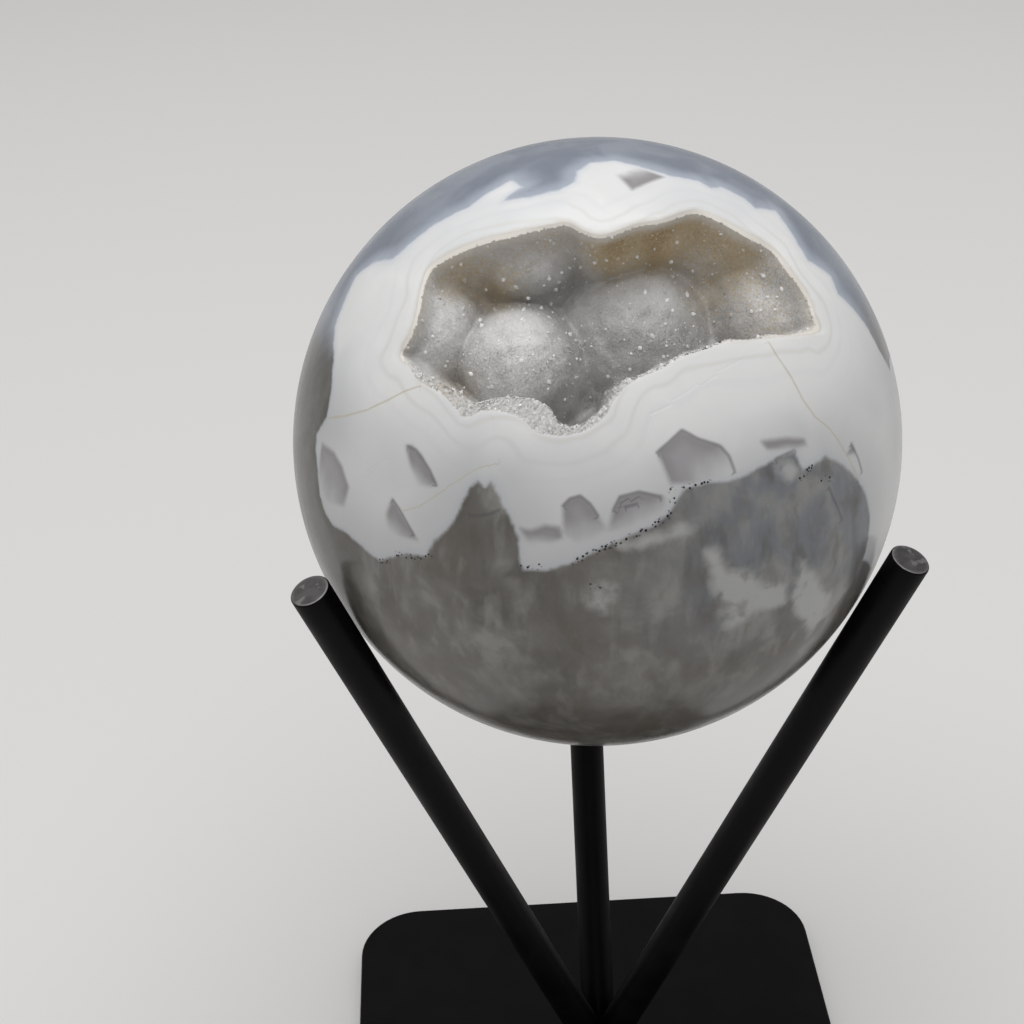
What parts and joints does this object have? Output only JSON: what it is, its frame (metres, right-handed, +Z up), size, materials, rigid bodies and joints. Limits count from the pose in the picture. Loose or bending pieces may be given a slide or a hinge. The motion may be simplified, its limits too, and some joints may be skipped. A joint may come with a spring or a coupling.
{
  "type": "agate sphere on a rod stand",
  "caption": "Polished agate sphere with an open crystal-lined hollow, resting between upright rods that flare from a flat square base plate.",
  "frame": {"origin": "middle of the base plate's underside", "axes": "+Z up through the sphere's centre, the crystal-lined hollow faces -Y and up, +X to the right seen from the front"},
  "size_m": [0.0902, 0.0966, 0.1808],
  "materials": {
    "polished_agate": "polished agate: white band, grey cloudy quartz below, blue-grey chalcedony rim",
    "druzy_quartz": "fine sugary quartz crystals, grey with brown stain under the upper edge",
    "black_rod": "satin black paint, bare metal at the sawn ends",
    "black_plate": "satin black paint"
  },
  "bodies": {
    "root": {"agate_sphere": "polished_agate", "druzy_crust": "druzy_quartz", "rod_back": "black_rod", "rod_left": "black_rod", "rod_right": "black_rod", "base_plate": "black_plate"}
  },
  "joints": []
}
